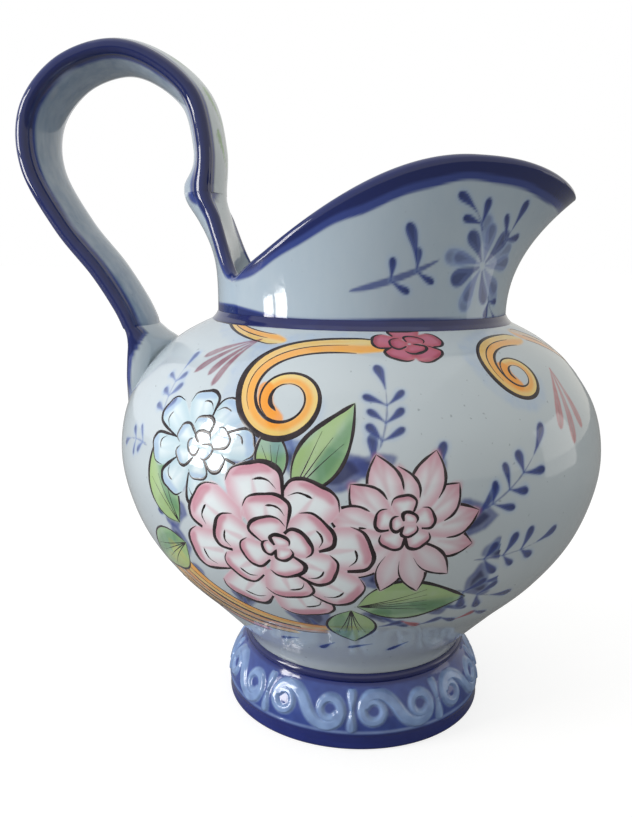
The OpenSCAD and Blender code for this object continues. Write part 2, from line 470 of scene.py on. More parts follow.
class Ink:
    """Drawn lines as thin domed ribbons of enamel, closed underneath. What is painted over a line
    hides it."""

    # A ribbon's section, as [part of its half width, height in mm]
    section = np.array([[-1, -0.02], [-0.6, 0.045], [0, 0.07], [0.6, 0.045], [1, -0.02],
                        [0.5, -0.2], [-0.5, -0.2]])

    def __init__(self):
        self.ribbons = []
        self.chart = np.zeros((4, 0))

    def add(self, angle, arc, radius, ribbon):
        self.chart = np.concatenate([self.chart, [angle, arc, radius, np.ones(len(angle))]], 1)
        self.ribbons.append(ribbon)

    def hide(self, place, path, inside):
        """Cut away what earlier lines have in a shape: inside tells how far in a point is."""
        angle, arc, radius, _ = self.chart
        x = place.flip * np.radians((angle - place.angle + 180) % 360 - 180) * radius
        y = arc - place.arc
        found = within(x, y, path, 6)
        self.chart[3, found[inside(x[found], y[found]) > 0]] = 0

    def build(self, name):
        shape = Shape()
        start = 0
        for centre, side, normal, half in self.ribbons:
            seen = self.chart[3, start:start + len(half)] > 0
            start += len(half)
            across = self.section[:, 0][None, :, None] * half[:, None, None]
            up = self.section[:, 1][None, :, None]
            rings = centre[:, None] + side[:, None] * across + normal[:, None] * up
            ends = np.flatnonzero(np.diff(np.concatenate([[False], seen, [False]]).astype(int)))
            for first, last in zip(ends[::2], ends[1::2]):
                if last - first > 3:
                    shape.add_tube(rings[first:last])
        shape.build(name, line_material, None, "painted_glaze")


lines = Ink()


class Place:
    """A motif's own flat coordinates on a canvas, in mm, with their origin at an angle and a height."""

    reach = 75

    def __init__(self, canvas, angle, height, mirror=False):
        self.canvas, self.angle = canvas, angle
        self.flip = -1 if mirror else 1
        column = int(round(float(canvas.column(angle)))) % len(canvas.angles)
        heights = canvas.points[:, column, 2]
        top = int(np.argmax(heights)) + 1
        self.arc = np.interp(height, heights[:top], canvas.arc[:top, column])
        x, y = canvas.offset(angle, self.arc)
        self.spots = np.flatnonzero((np.abs(x) < self.reach) & (np.abs(y) < self.reach))
        self.x, self.y = self.flip * x.ravel()[self.spots], y.ravel()[self.spots]

    def tint(self, path, margin, inside, colour, cover, soft, rim, depth):
        """Thin colour where inside is above 0, soft at its edge and paler by rim at this depth."""
        found = within(self.x, self.y, path, margin)
        far_in = inside(self.x[found], self.y[found])
        paint = self.canvas.paint.reshape(-1, 4)
        spots = self.spots[found]
        part = paint[spots]
        lay(part, cover * ease(far_in / soft + 0.5) * (1 - rim * ease(far_in / depth)), colour)
        paint[spots] = part

    def wash(self, points, width, colour, cover, kind, soft=0.9, rim=0.0):
        """A brush stroke of thin colour, with its width in mm."""
        path = flowing(points, 6)
        length = arc_length(path)
        widths = width / 2 * STROKES[kind](length / length[-1])
        self.tint(path, width / 2 + soft + 1, lambda x, y: brush(x, y, path, widths), colour, cover,
                  soft, rim, width / 2)

    def fill(self, points, colour, cover, soft=1.0, rim=0.0, depth=4.0, over=False):
        """Thin colour inside a closed outline: over hides the lines below it."""
        path = smooth_curve([*points, points[0]], 6)[:-1]

        def inside(x, y):
            return in_outline(x, y, path)

        if over:
            lines.hide(self, path, inside)
        self.tint(path, soft + 1, inside, colour, cover, soft, rim, depth)

    def line(self, points, width, kind="line"):
        """A drawn outline."""
        path = even_steps(flowing(points, 8), 0.6)
        length = arc_length(path)
        t = length / length[-1]
        wobble = 1 + 0.12 * np.sin(9 * t + points[0][0]) + 0.08 * np.sin(23 * t + points[0][1])
        half = np.maximum(width / 2 * STROKES[kind](t) * wobble, 0.06)
        x, y = self.flip * path[:, 0], path[:, 1]
        centre, normal = self.canvas.surface(self.angle, self.arc, x, y)
        side = to_units(np.cross(np.gradient(centre, axis=0), normal))
        radius = np.hypot(centre[:, 0], centre[:, 1])
        around = self.angle + np.degrees(x / radius)
        lines.add(around, self.arc + y, radius, (centre, side, normal, half))


# ---- belly

foot_high = corners("foot")[1]
belly_low, belly_high = corners("belly")
neck_low, neck_high = corners("neck")
belly_bottom, belly_top = belly_low[2], belly_high[2]
neck_z = neck_low[2]

# Outer side of the belly as [radius, height], as the CAD model turns it
belly_side = [
    [46.5, belly_bottom], [51.5, 35.5], [65, 50], [79.5, 65], [91, 82], [97.5, 101],
    [98.5, 117], [94.5, 133], [84.5, 147.8], [73.4, 157.2], [61.5, belly_top],
]
belly_wall = 5.5
floor_z = belly_bottom + 7
neck_r = 59
neck_wall = 5.2

# The painted front has finer columns, and the inside has one for every four of the outside
front_step, back_step, belly_row, coarser = 0.3, 0.5, 0.5, 4
belly_angles = np.concatenate([np.arange(-80, 80, front_step), np.arange(80, 280, back_step)])
belly_angles = belly_angles[:len(belly_angles) // coarser * coarser]
belly_outline = even_steps(smooth_curve(belly_side, 40), belly_row)
belly = Canvas(turned(belly_outline, belly_angles), belly_angles)


def inside_outline():
    """Inner side of the belly, from its mouth down to the edge of its floor."""
    mouth_r = neck_r - neck_wall
    coarse = even_steps(belly_outline, 2.5)
    heading = to_units(np.gradient(coarse, axis=0))
    inner = coarse + belly_wall * np.stack([-heading[:, 1], heading[:, 0]], 1)
    kept = inner[(inner[:, 1] > floor_z) & (inner[:, 1] < belly_top - 1) & (inner[:, 0] > mouth_r)]
    return np.concatenate([[[mouth_r, belly_top]], kept[::-1],
                           [[kept[0, 0] - 4, floor_z], [10, floor_z]]])


def make_belly():
    shape = Shape()
    count = len(belly_angles)
    bottom = shape.add_grid(belly.points, belly.paint) + np.arange(count)
    shape.add_fan(bottom[::-1], (0, 0, belly_bottom))
    few = turned(inside_outline(), belly_angles[::coarser])
    mouth = shape.add_grid(few) + np.arange(count // coarser)
    top = bottom + (len(belly_outline) - 1) * count
    for i, (here, after) in enumerate(zip(mouth, np.roll(mouth, -1))):
        edge = [top[(coarser * i + k) % count] for k in range(coarser + 1)]
        shape.faces.append(np.array([[edge[k], edge[k + 1], here] for k in range(coarser)]
                                    + [[edge[-1], after, here]]))
    shape.add_fan(mouth + (len(few) - 1) * len(mouth), (0, 0, floor_z))
    shape.build("belly_painted", glaze_material, "belly", "painted_glaze")


# ---- neck

spout_reach = neck_high[0]
spout_tip_z, rim_top_z, notch_z = 214, neck_high[2], 181
rim_r = 61
crest_x = 40
notch_half = 34
notch_round = 3.2
notch_x = neck_r * math.cos(math.radians(notch_half))
strap_w, strap_t, crown_out, crown_in, thumb_swell = 39, 6, 2.8, 3.8, 4
strap_root_x, strap_top_z = -62.3, 215.5
tongue_z = 213
tongue_half = math.degrees(math.asin(strap_w / 2 / math.hypot(strap_root_x, strap_w / 2)))
base_mid = neck_r - neck_wall / 2


def rim_reach(turn):
    """Reach of the rim from the axis, at an angle from the spout."""
    return rim_r + (spout_reach - rim_r) * ((1 + math.cos(math.radians(turn))) / 2) ** 7


def rim_height(x):
    if x < crest_x:
        rise = (x + notch_x) / (crest_x + notch_x)
        return notch_z + (rim_top_z - notch_z) * math.sin(math.pi / 2 * max(0, rise))
    return rim_top_z - (rim_top_z - spout_tip_z) * ((x - crest_x) / (spout_reach - crest_x)) ** 2.5


def top_height(b):
    """Height of the wall's top at an angle away from the handle."""
    if b <= tongue_half:
        return tongue_z
    if b <= notch_half:
        share = (notch_half - b) / (notch_half - tongue_half)
        return notch_z + (tongue_z - notch_z) * (1 - (1 - share) ** 0.7) ** 1.4
    return rim_height(-rim_reach(180 - b) * math.cos(math.radians(b)))


def tongue_lean(up):
    """The tongue's lean outward, from 0 at its root to 1 at its top, where it stands upright."""
    turn, power = 0.78, 2.5
    if up < turn:
        return up**power
    t = (up - turn) / (1 - turn)
    slope = power * turn ** (power - 1) * (1 - turn)
    return turn**power * (2 * t**3 - 3 * t**2 + 1) + slope * (t**3 - 2 * t**2 + t) + 3 * t**2 - 2 * t**3


def wall_middle(b, z, top):
    """Distance of the wall's middle from the axis, at an angle away from the handle and a height."""
    rise = max(0, z - neck_z)
    front = base_mid + (rim_reach(180 - b) - neck_wall / 2 - base_mid) * (rise / (top - neck_z)) ** 2.1
    root = -strap_root_x / math.cos(math.radians(min(b, 60)))
    back = base_mid + (root - base_mid) * tongue_lean(rise / (tongue_z - neck_z))
    share = ease((55 - b) / 25)
    return front * (1 - share) + back * share


def crown_at(y, crown, width=strap_w - strap_t):
    return crown * np.maximum(0, 1 - (2 * y / width) ** 2)


def swell(y, z):
    """Swell behind the tongue and the strap's root."""
    reach = np.where(z < strap_top_z, 16, 6)
    return np.exp(-((z - strap_top_z) / reach) ** 2) * crown_at(y, thumb_swell, strap_w)


def half_wall(b, y, z, crown):
    share = ease((50 - b) / 20) * ease((z - notch_z) / (tongue_z - notch_z))
    return (neck_wall * (1 - share) + strap_t * share) / 2 + share * crown_at(y, crown)


def wall_point(angle, r, z, swell_share):
    x, y = r * math.sin(math.radians(angle)), -r * math.cos(math.radians(angle))
    return [x - (swell(y, z) * swell_share if x < 0 else 0), y, z]


outer_rows, rim_rows, inner_rows = 70, 12, 22


def rim_stations():
    """Half a turn of the wall's columns, from the handle to the spout: the angle away from the
    handle, the height where the rim's rounding starts, and which way the rounding points."""
    fine_until, fine, coarse = notch_half + 8, 0.12, 0.5
    steps = np.concatenate([np.arange(tongue_half, fine_until, fine),
                            np.arange(fine_until, 180, coarse), [180.0]])
    height = np.array([top_height(b) for b in steps])
    reach = np.array([wall_middle(b, z, z) for b, z in zip(steps, height)])
    around = np.concatenate([[0], np.cumsum(np.radians(np.diff(steps)) * (reach[1:] + reach[:-1]) / 2)])
    # The bottom of the notch is filled out to a round
    weight = np.exp(-((around[:, None] - around) / notch_round) ** 2) * np.gradient(around)
    from_notch = np.abs(around - np.interp(notch_half, steps, around)) / notch_round
    height += ease((4 - from_notch) / 2) * (weight @ height / weight.sum(1) - height)
    slope = np.stack([np.gradient(around), np.gradient(height)], 1)
    slope[0], slope[-1] = (0, -1), (1, 0)
    slope = to_units(slope)
    slope[1:-1] = (slope[:-2] + slope[1:-1] + slope[2:]) / 3
    slope = to_units(slope)
    inward = np.stack([slope[:, 1], -slope[:, 0]], 1)
    start = steps + np.degrees(inward[:, 0] * neck_wall / 2 / reach)
    start[-1] = 180
    level = height + inward[:, 1] * neck_wall / 2
    stations = [(b, tongue_z, (0, 0)) for b in np.arange(0, start[0] - 0.3, coarse)]
    return stations + [(b, z, (-way[0], -way[1])) for b, z, way in zip(start, level, inward)]


def neck_column(b, side, top, way):
    """Points up the outside of the wall, over the rim and down the inside, at an angle from the
    handle. The rounding of the rim leans along way, as (round the neck, up)."""
    angle = side * b - 90
    sine = math.sin(math.radians(b))
    full = max(top_height(b) if any(way) else tongue_z, top)
    column = []
    for z in np.linspace(neck_z, top, outer_rows + 1):
        middle = wall_middle(b, z, full)
        column.append(wall_point(angle, middle + half_wall(b, middle * sine, z, crown_in), z, 1))
    middle = wall_middle(b, top, full)
    for k in range(1, rim_rows):
        t = math.pi * k / rim_rows
        half = half_wall(b, middle * sine, top, crown_in if math.cos(t) > 0 else crown_out)
        lean = half * math.sin(t)
        shift = side * math.degrees(lean * way[0] / middle)
        column.append(wall_point(angle + shift, middle + half * math.cos(t), top + lean * way[1],
                                 1 - k / rim_rows))
    for z in np.linspace(top, neck_z, inner_rows + 1):
        middle = wall_middle(b, z, full)
        column.append(wall_point(angle, middle - half_wall(b, middle * sine, z, crown_out), z, 0))
    return column


half_turn = rim_stations()
whole_turn = [(b, 1, top, way) for b, top, way in half_turn]
whole_turn += [(b, -1, top, way) for b, top, way in half_turn[-2:0:-1]]
neck_angles = np.array([(side * b) % 360 - 90 for b, side, top, way in whole_turn])
neck_points = np.array([neck_column(*station) for station in whole_turn])
neck = Canvas(neck_points.transpose(1, 0, 2), neck_angles)


def make_neck():
    shape = Shape()
    shape.add_grid(neck.points, neck.paint, closed=True)
    shape.build("neck_painted", glaze_material, "neck", "painted_glaze")


# ---- handle

strap_line = [
    [strap_root_x, strap_top_z], [-62, 231], [-67, 249.5], [-82, 262.2], [-99, 266.2], [-118.4, 259.2],
    [-131.4, 243], [-131.8, 222], [-119.8, 199.5], [-105.8, 182], [-96.8, 168], [-93, 160],
]
strap_path = smooth_curve(strap_line, 24)


def strap_section(face_steps=22, edge_steps=14):
    """The strap's section as [across, through], with crowned faces and half-round edges."""
    flat = (strap_w - strap_t) / 2
    y = np.linspace(-flat, flat, face_steps + 1)[1:-1]
    turn = np.radians(np.linspace(-90, 90, edge_steps + 1))
    edge = strap_t / 2 * np.stack([np.cos(turn), np.sin(turn)], 1)
    return np.concatenate([
        np.stack([y, -strap_t / 2 - crown_at(y, crown_in)], 1),
        edge + [flat, 0],
        np.stack([y[::-1], strap_t / 2 + crown_at(y[::-1], crown_out)], 1),
        -edge - [flat, 0],
    ])


section = strap_section()
outer_side = section[:, 1] > 0


def strap_ring(p, heading):
    """The strap's section set square to its heading, with the swell of its root."""
    x = p[0] + heading[1] * section[:, 1]
    z = p[1] - heading[0] * section[:, 1]
    inward = np.where(section[:, 1] < 0, 1, np.maximum(0, 0.5 - section[:, 1] / strap_t))
    pushed = np.where(x > -80, swell(section[:, 0], z) * inward, 0)
    return np.stack([x - pushed, section[:, 0], z], 1)


strap_heading = np.gradient(strap_path, axis=0)
strap_heading[0], strap_heading[-1] = (0, 1), (0, -1)
strap_points = np.array([strap_ring(p, h) for p, h in zip(strap_path, to_units(strap_heading))])
strap_along = arc_length(strap_path)


def skin(name, rings, paint, node):
    """A closed solid over rings of points, from its lower end to its upper one."""
    shape = Shape()
    shape.add_tube(rings, paint)
    shape.build(name, glaze_material, node, "painted_glaze")


def make_strap(paint):
    skin("handle_strap", strap_points[:, ::-1], paint[:, ::-1], "handle")


def make_top_joint(strap_paint):
    """A slice that carries the strap's first ring down to the tongue."""
    ring = strap_ring(strap_line[0], (0, 1))
    rings = np.array([np.column_stack([ring[:, :2], np.full(len(ring), z)])
                      for z in np.linspace(tongue_z, strap_top_z, 6)])
    paint = no_paint(rings) + strap_paint[:1]
    skin("handle_top_slip", rings[:, ::-1], paint[:, ::-1], "handle_top_joint")


# Clay smeared down from the strap's end, as [height, middle x, depth inward, half width]
base_tail = [
    [120, -93.6, 6, 6], [130, -93.2, 7, 12], [138, -92.6, 12, 17], [146, -91.8, 15, 19],
    [152.5, -91.2, 15.5, 19.5], [157, -91.7, 9.5, 19.5], [160, -93, strap_t / 2 + crown_in, strap_w / 2],
]


def make_base_joint(paint_tail):
    rows = smooth_curve(base_tail, 12)
    rings = []
    for z, x, depth, half in rows:
        inward = np.where(section[:, 1] < 0, depth / (strap_t / 2 + crown_in), 1)
        ring = np.stack([x - section[:, 1] * inward, section[:, 0] * 2 * half / strap_w,
                         np.full(len(section), z)], 1)
        # What would pass through the belly's wall stays just under its outer side
        wall = np.interp(z, belly_outline[:, 1], belly_outline[:, 0]) - 1.5 if z < belly_top else 0
        ring[:, :2] *= np.maximum(1, wall / np.hypot(ring[:, 0], ring[:, 1]))[:, None]
        rings.append(ring)
    rings = np.array(rings)
    skin("handle_base_clay", rings, paint_tail(rings, rows[:, 0]), "handle_base_joint")


# ---- foot and joint rings

foot_r, foot_wall = foot_high[0], 7
foot_top_r, foot_h = 47, foot_high[2]
foot_side = [
    [foot_r - 2, 0], [foot_r - 0.4, 0.7], [foot_r, 3], [foot_r, 8],
    [foot_r - 1.2, 14], [foot_r - 4.2, 20], [foot_top_r, foot_h],
]
under_side = [
    [foot_top_r - foot_wall - 2, foot_h], [foot_r - foot_wall - 1.5, 2.5], [foot_r - foot_wall, 0],
]


def make_foot(relief):
    """The foot, with relief giving how far its outside stands out and how that is painted."""
    angles = np.arange(-180, 180, 0.5)
    outline = even_steps(smooth_curve(foot_side, 12), 0.3)
    height, paint = relief(angles, outline)
    outer = turned(outline, angles)
    outer += height[..., None] * turned(np.array([[1, 0]]), angles)
    under = turned(even_steps(np.array(under_side), 2), angles)
    shape = Shape()
    shape.add_grid(np.concatenate([outer, under]), np.concatenate([paint, no_paint(under)]), closed=True)
    shape.build("foot_moulded", cobalt_material, "foot", "cobalt_glaze")


def make_ring(name, node, outline):
    """A ring of cobalt glaze: the side that faces the inside of the pitcher is plain glaze."""
    outline = even_steps(np.array(outline + outline[:1]), 0.4)[:-1]
    rings = turned(outline, np.arange(-180, 180, 1.0))
    paint = no_paint(rings) + (*srgb(30, 32, 84), 0.75)
    paint[outline[:, 0] < outline[:, 0].min() + 1.5] = (*srgb(188, 198, 205), 1)
    shape = Shape()
    shape.add_grid(rings, paint, closed=True)
    shape.build(name, cobalt_material, node, "cobalt_glaze")


def make_joint_rings():
    bulge = [[foot_top_r - 0.5 + 1.6 * math.cos(t), foot_h + 1.75 * (1 + math.sin(t))]
             for t in np.radians(np.arange(-90, 91, 15))]
    inner = foot_top_r - foot_wall - 2
    make_ring("foot_ring_rolled", "foot_joint_ring", [[inner, foot_h]] + bulge + [[inner, belly_bottom]])
    make_ring("neck_collar", "neck_joint_ring", [
        [neck_r - neck_wall, belly_top], [neck_r + 2.5, belly_top], [neck_r + 1, belly_top + 1.6],
        [neck_r, neck_z], [neck_r - neck_wall, neck_z]])


# ---- colours of the painting

cobalt, cobalt_deep = srgb(42, 60, 132), srgb(14, 24, 80)
cobalt_pale, halo_blue = srgb(112, 128, 176), srgb(150, 176, 214)
sky, ice = srgb(164, 194, 208), srgb(226, 236, 240)
pink, rose_pink, salmon = srgb(206, 142, 162), srgb(188, 100, 126), srgb(196, 100, 104)
leaf_green, moss, dark_green = srgb(134, 176, 116), srgb(178, 200, 128), srgb(62, 122, 84)
yellow, orange, amber = srgb(238, 204, 96), srgb(238, 152, 44), srgb(226, 172, 86)
maroon, brick, tan = srgb(132, 44, 74), srgb(176, 84, 92), srgb(206, 172, 132)

# A flower's colours: the pale ground of its petals, their tint and the deepest touch
pinks = (ice, pink, rose_pink)
pale_blues = (ice, sky, halo_blue)
maroons = (rose_pink, brick, maroon)

hand = np.random.default_rng(7)


def unsteady(value, share=0.06):
    """The value as a free hand would repeat it."""
    return value * (1 + share * hand.uniform(-1, 1))


# ---- strokes made by rule

def heading_of(degrees):
    return np.array([math.cos(math.radians(degrees)), math.sin(math.radians(degrees))])


def degrees_of(heading):
    return math.degrees(math.atan2(heading[1], heading[0]))


def curl(start, heading, length, turn, power=1.0, steps=26):
    """A line that bends, more and more if power is above 1: a hook when turn is small, a scroll with
    an eye when it is large."""
    t = np.linspace(0, 1, steps)
    angle = np.radians(heading + turn * t**power)
    middle = (angle[1:] + angle[:-1]) / 2
    moves = np.stack([np.cos(middle), np.sin(middle)], 1) * length / (steps - 1)
    return np.array(start, float) + np.cumsum(np.concatenate([[[0, 0]], moves]), axis=0)


def beside(path, distance):
    """A path moved to its left by a distance, which may change along it."""
    heading = to_units(np.gradient(path, axis=0))
    left = np.stack([-heading[:, 1], heading[:, 0]], 1)
    return path + left * np.broadcast_to(distance, len(path))[:, None]


def lens(root, heading, length, width, bend, belly_at=0.8):
    """The middle, left edge and right edge of a leaf or a long petal."""
    middle = curl(root, heading, length, bend, steps=9)
    half = width / 2 * np.sin(np.pi * np.linspace(0, 1, len(middle)) ** belly_at)
    return middle, beside(middle, half), beside(middle, -half)


def between(left, right):
    """The outline round two edges that meet at both ends."""
    return np.concatenate([left, right[::-1][1:-1]])


def drop(at, start, heading, length, width, colour=cobalt, cover=0.95):
    """A loaded brush drawn along and pressed down: a drop with a soft bleed round it."""
    path = curl(start, heading, length, 14, steps=5)
    at.wash(path, width + 2.6, halo_blue, 0.4, "drop", soft=2.4)
    at.wash(path, width * 1.06, colour, cover, "drop", rim=0.1)
    at.wash(path[2:], width * 0.6, colour * 0.4, cover * 0.6, "drop")


# ---- flowers, leaves and scrolls

def petal(at, centre, inner, outer, middle, half_turn, stretch, colours, line_width):
    """One cupped petal of a ring: pale inside, coloured towards its edge, with a drawn edge."""
    pale, tint, deep = colours
    long = outer - inner
    u = np.linspace(-1, 1, 9)
    dent = 0.05 * np.exp(-((u - 0.1) / 0.25) ** 2)
    radius = inner + long * ((1 - np.abs(u) ** 2.8) ** 0.6 - dent)
    angle = np.radians(middle + half_turn * u)
    edge = centre + np.stack([np.cos(angle) * radius * stretch, np.sin(angle) * radius], 1)
    root = centre + heading_of(middle) * [stretch, 1] * inner * 0.6
    outline = np.concatenate([edge, root[None]])
    at.fill(outline, pale, 0.96, over=True)
    at.fill(outline, tint, 0.76, rim=0.95, depth=long / 2)
    at.wash(edge[2:-2] * 0.9 + root * 0.1, long * 0.26, deep, 0.62, "line", soft=1.8, rim=0.2)
    drawn = edge if hand.uniform() < 0.5 else edge[::-1]
    at.line(drawn[:-1], unsteady(line_width, 0.2))
    if long > 9:
        echo = root + (drawn - root) * 0.74
        at.line(echo[1:5], line_width * 0.6, "press")
        at.wash(root + (edge[4] - root) * [[0.3], [0.8]], 2.6, tint, 0.4, "flick", soft=1.2)


def rosette(at, rings, stretch, colours, line_width):
    """Petals round a heart, from the outside in: each ring has its count, inner and outer radius,
    first angle and own middle, so the flower leans."""
    for count, inner, outer, first, dx, dy in rings:
        for k in range(count):
            middle = first + 360 / count * k + hand.uniform(-4, 4)
            petal(at, np.array([dx, dy]), inner, unsteady(outer, 0.07), middle, 180 / count * 1.12,
                  stretch, colours, line_width)


def fan_flower(at, length, width, fingers, colours, line_width):
    """Long petals that spread from one cup, like an opened tulip seen from below."""
    pale, tint, deep = colours
    for k, heading in enumerate(np.linspace(-20, 200, fingers)):
        long = unsteady(length * (1.0 if k % 2 else 0.84))
        middle, left, right = lens((0, -2), heading, long, width, -14 if heading > 90 else 14, 1.5)
        at.fill(between(left, right), pale, 0.95, over=True)
        at.fill(between(left, right), tint, 0.74, rim=0.8, depth=width * 0.4)
        at.wash(middle[4:], width * 0.5, deep, 0.4, "drop", soft=2, rim=0.3)
        at.line(left[3:], line_width)
        at.line(right[4:], line_width * 0.9)
    for heading in np.linspace(225, 315, 4):
        middle, left, right = lens((0, -3), heading, unsteady(length * 0.86), width * 0.8, 0, 1.3)
        at.fill(between(left, right), pale, 0.95, over=True)
        at.fill(between(left, right), tint, 0.62, soft=1.2, rim=0.6, depth=width * 0.4)
        at.line(left[1:], line_width)
        at.line(right[3:], line_width * 0.7, "press")


def leaf(at, root, heading, length, width, bend, vein_count, line_width=1.4):
    """A leaf with a green wash, darker along one side, fine veins from its root and drawn edges."""
    middle, left, right = lens(root, heading, length, width, bend)
    at.fill(between(left, right), leaf_green, 0.84, soft=1.1, rim=0.15, over=True)
    at.fill(between(left, middle), moss, 0.45, soft=2.4)
    at.wash(beside(middle, -width * 0.2)[1:-1], width * 0.34, dark_green, 0.45, "line", soft=2.4)
    for share in np.linspace(-0.66, 0.66, vein_count):
        end = middle[5] * (1 - abs(share)) + (left if share > 0 else right)[5] * abs(share)
        half_way = (middle[0] + end) / 2 + (middle[3] - middle[0]) * 0.12
        at.line([middle[0], half_way, end], 0.6, "flick")
    at.line(left, line_width, "press")
    at.line(right[::-1], line_width * 0.75)


def scroll(at, start, heading, length, turn, width, power, line_width, body=yellow):
    """A painted scroll: a tapering band with a warmer inner edge, drawn on both sides, and a filled
    eye where it turns far enough to have one."""
    path = curl(start, heading, length, turn, power, 34)
    half = width / 2 * STROKES["taper"](np.linspace(0, 1, len(path)))
    way = 1 if turn > 0 else -1
    inner = beside(path, way * half)
    lines.hide(at, path, lambda x, y: brush(x, y, path, half))
    at.wash(beside(path, -way * 3.5)[:26], width + 3, halo_blue, 0.32, "line", soft=3.4)
    at.wash(path, width, body, 0.82, "taper", soft=1.4, rim=0.1)
    at.wash(beside(path, way * half * 0.45), width * 0.5, orange, 0.7, "taper", soft=1.8)
    at.wash(beside(path, -way * half * 0.5)[4:22], width * 0.24, amber, 0.5, "line", soft=1.2)
    at.line(beside(path, -way * half)[1:], line_width)
    at.line(inner[3:-4], line_width * 0.6)
    at.line(path[4:18], 0.6)
    if abs(turn) > 300:
        eye = path[-3:] + (path[-3:] - path[-2]) * 0.6
        at.wash(eye, width * 0.62, orange, 0.9, "even", soft=1.0)
        at.line(inner[-6:], line_width * 0.7, "press")


def fan(at, corner, headings, length, width, colour, cover=0.62):
    """Drops that spread from one corner, paler down their middle."""
    for heading in headings:
        path = curl(corner, heading, unsteady(length, 0.12), 16, steps=5)
        at.wash(path, width, colour, cover, "drop", rim=0.55)
        at.wash(path[2:], width * 0.35, colour * 0.6, cover * 0.5, "drop", soft=0.8)


def sprig(at, start, heading, length, pairs, size, colour=cobalt, bend=30):
    """A stem with pairs of drops and a bud at its tip."""
    path = curl(start, heading, length, bend, steps=2 * pairs + 3)
    at.wash(path, 0.9, colour, 0.7, "flick", soft=0.6)
    for k in range(1, 2 * pairs, 2):
        along = degrees_of(path[k + 1] - path[k])
        for side in (-1, 1):
            drop(at, path[k], unsteady(along + side * 52, 0.1), unsteady(size * 1.9, 0.2),
                 unsteady(size, 0.2), colour)
    drop(at, path[-2], degrees_of(path[-1] - path[-2]), size * 2.4, size * 1.15, colour)


def pool(at, centre, width, height):
    """Deep blue between the flowers, pooled and uneven."""
    angle = np.radians(np.arange(0, 360, 40))
    wobble = 0.625 * (1 + 0.22 * np.sin(3 * angle + centre[0]))
    ring = np.stack([np.cos(angle) * width * wobble, np.sin(angle) * height * wobble], 1)
    at.fill(centre + ring, cobalt, 0.8, soft=1.8, rim=0.1)
    at.fill(centre + ring * 0.6, cobalt_deep, 0.85, soft=1.6)


# ---- the painting of the belly

def place(angle, height, mirror=False):
    return Place(belly, angle, height, mirror)


def paint_bouquet():
    """Three flowers with leaves between them, blue round them and a sheaf of scrolls below."""
    ground = place(-15, 95)
    for k, degrees in enumerate(np.arange(0, 360, 24)):
        middle = heading_of(degrees) * (unsteady(60, 0.08), unsteady(33, 0.08)) + (12, 0)
        pool(ground, middle, 8 + 4 * (k % 2), 7 + 3 * (k % 3))
        drop(ground, middle, degrees + 20, unsteady(11, 0.2), 4.6)
    for middle in ((20, 29), (-6, 33), (35, -8)):
        pool(ground, middle, 14, 11)
    sheaf = place(-44, 79)
    for k, body in enumerate((yellow, tan, yellow, salmon)):
        start = (-2 - 5 * k, 10 - 8 * k)
        scroll(sheaf, start, 289 + 3 * k, 76 - 11 * k, 88 - 9 * k, 9.0, 1.0, 1.3, body)
    leaf(place(-40, 95), (2, 3), 128, 30, 17, -24, 3)
    leaf(place(-40, 90), (2, 0), 205, 34, 19, 20, 4)
    leaf(place(-14, 118), (-2, 0), 106, 20, 11, -14, 3)
    leaf(place(-14, 118), (4, -2), 52, 34, 15, 18, 3, 1.8)
    leaf(place(-2, 74), (4, 0), 14, 38, 21, -20, 5, 1.6)
    leaf(place(-2, 72), (2, 0), 268, 27, 17, 8, 5)
    rosette(place(-33, 126), ((8, 8, 21, 10, 0, 0), (6, 3, 11, 30, 1, 0), (3, 0.5, 5, 80, 1, 1)), 1.15,
            pale_blues, 1.2)
    fan_flower(place(9, 106), 27, 11, 9, pinks, 1.2)
    rosette(place(9, 106), ((5, 3, 9.5, 20, 0, 1), (3, 0.6, 4.4, 60, 0, 1)), 1.05, pinks, 1.2)
    rosette(place(-16, 94), ((8, 18, 31, 12, 0, 0), (6, 9.5, 20, 38, 0, 1), (4, 3.5, 11.5, 20, 1, 2),
                             (3, 0.6, 5, 70, 1.5, 2.5)), 1.14, pinks, 1.5)


def paint_ground():
    """Blue sprigs round the bouquet, and drops and berries below it."""
    sprig(place(4, 130), (0, 0), 70, 24, 3, 4.0)
    sprig(place(24, 110), (0, 0), 24, 31, 3, 4.4)
    sprig(place(24, 92), (0, 0), -4, 31, 3, 4.2, bend=20)
    sprig(place(22, 80), (0, 0), -28, 22, 2, 4.4, bend=12)
    sprig(place(-46, 132), (0, 0), 112, 24, 3, 3.2, cobalt_pale, -30)
    sprig(place(-50, 122), (0, 0), 170, 20, 2, 3.0, cobalt_pale)
    berries = place(14, 66)
    for k in range(6):
        heading, rise = (320, 4) if k % 2 else (20, 0)
        drop(berries, (7 * k - 10, rise - 4), heading, 8, 4, brick if k % 3 == 1 else cobalt)
    for k in range(4):
        drop(place(-18 + 12 * k, 50), (0, 0), 200 + 25 * (k % 2), 9, 3.6)
    for mirror in (True, False):
        sprig(place(92, 118, mirror), (2, 0), 64, 26, 3, 4.0)


def paint_shoulder():
    """Scrolls under the neck, with a small rose and fans of drops between them."""
    scroll(place(-12, 150), (26, 15), 174, 126, 515, 9.0, 2.1, 2.2)
    scroll(place(-22, 158), (0, 4), 172, 62, -60, 6.5, 1.5, 1.1)
    fan(place(-30, 160), (0, 0), (204, 217, 231, 244), 25, 4.0, maroon, 0.8)
    scroll(place(44, 155), (18, 8), 172, 86, 500, 7.5, 2.1, 1.7)
    scroll(place(60, 158), (0, 8), 330, 52, -20, 9, 1.0, 0.9, tan)
    fan(place(52, 150), (6, 0), (228, 246, 264), 27, 5.6, brick, 0.75)
    rosette(place(14, 160), ((5, 5, 10, 20, 0, 0), (3, 0.8, 5.5, 50, 0, 0)), 1.25, maroons, 1.2)


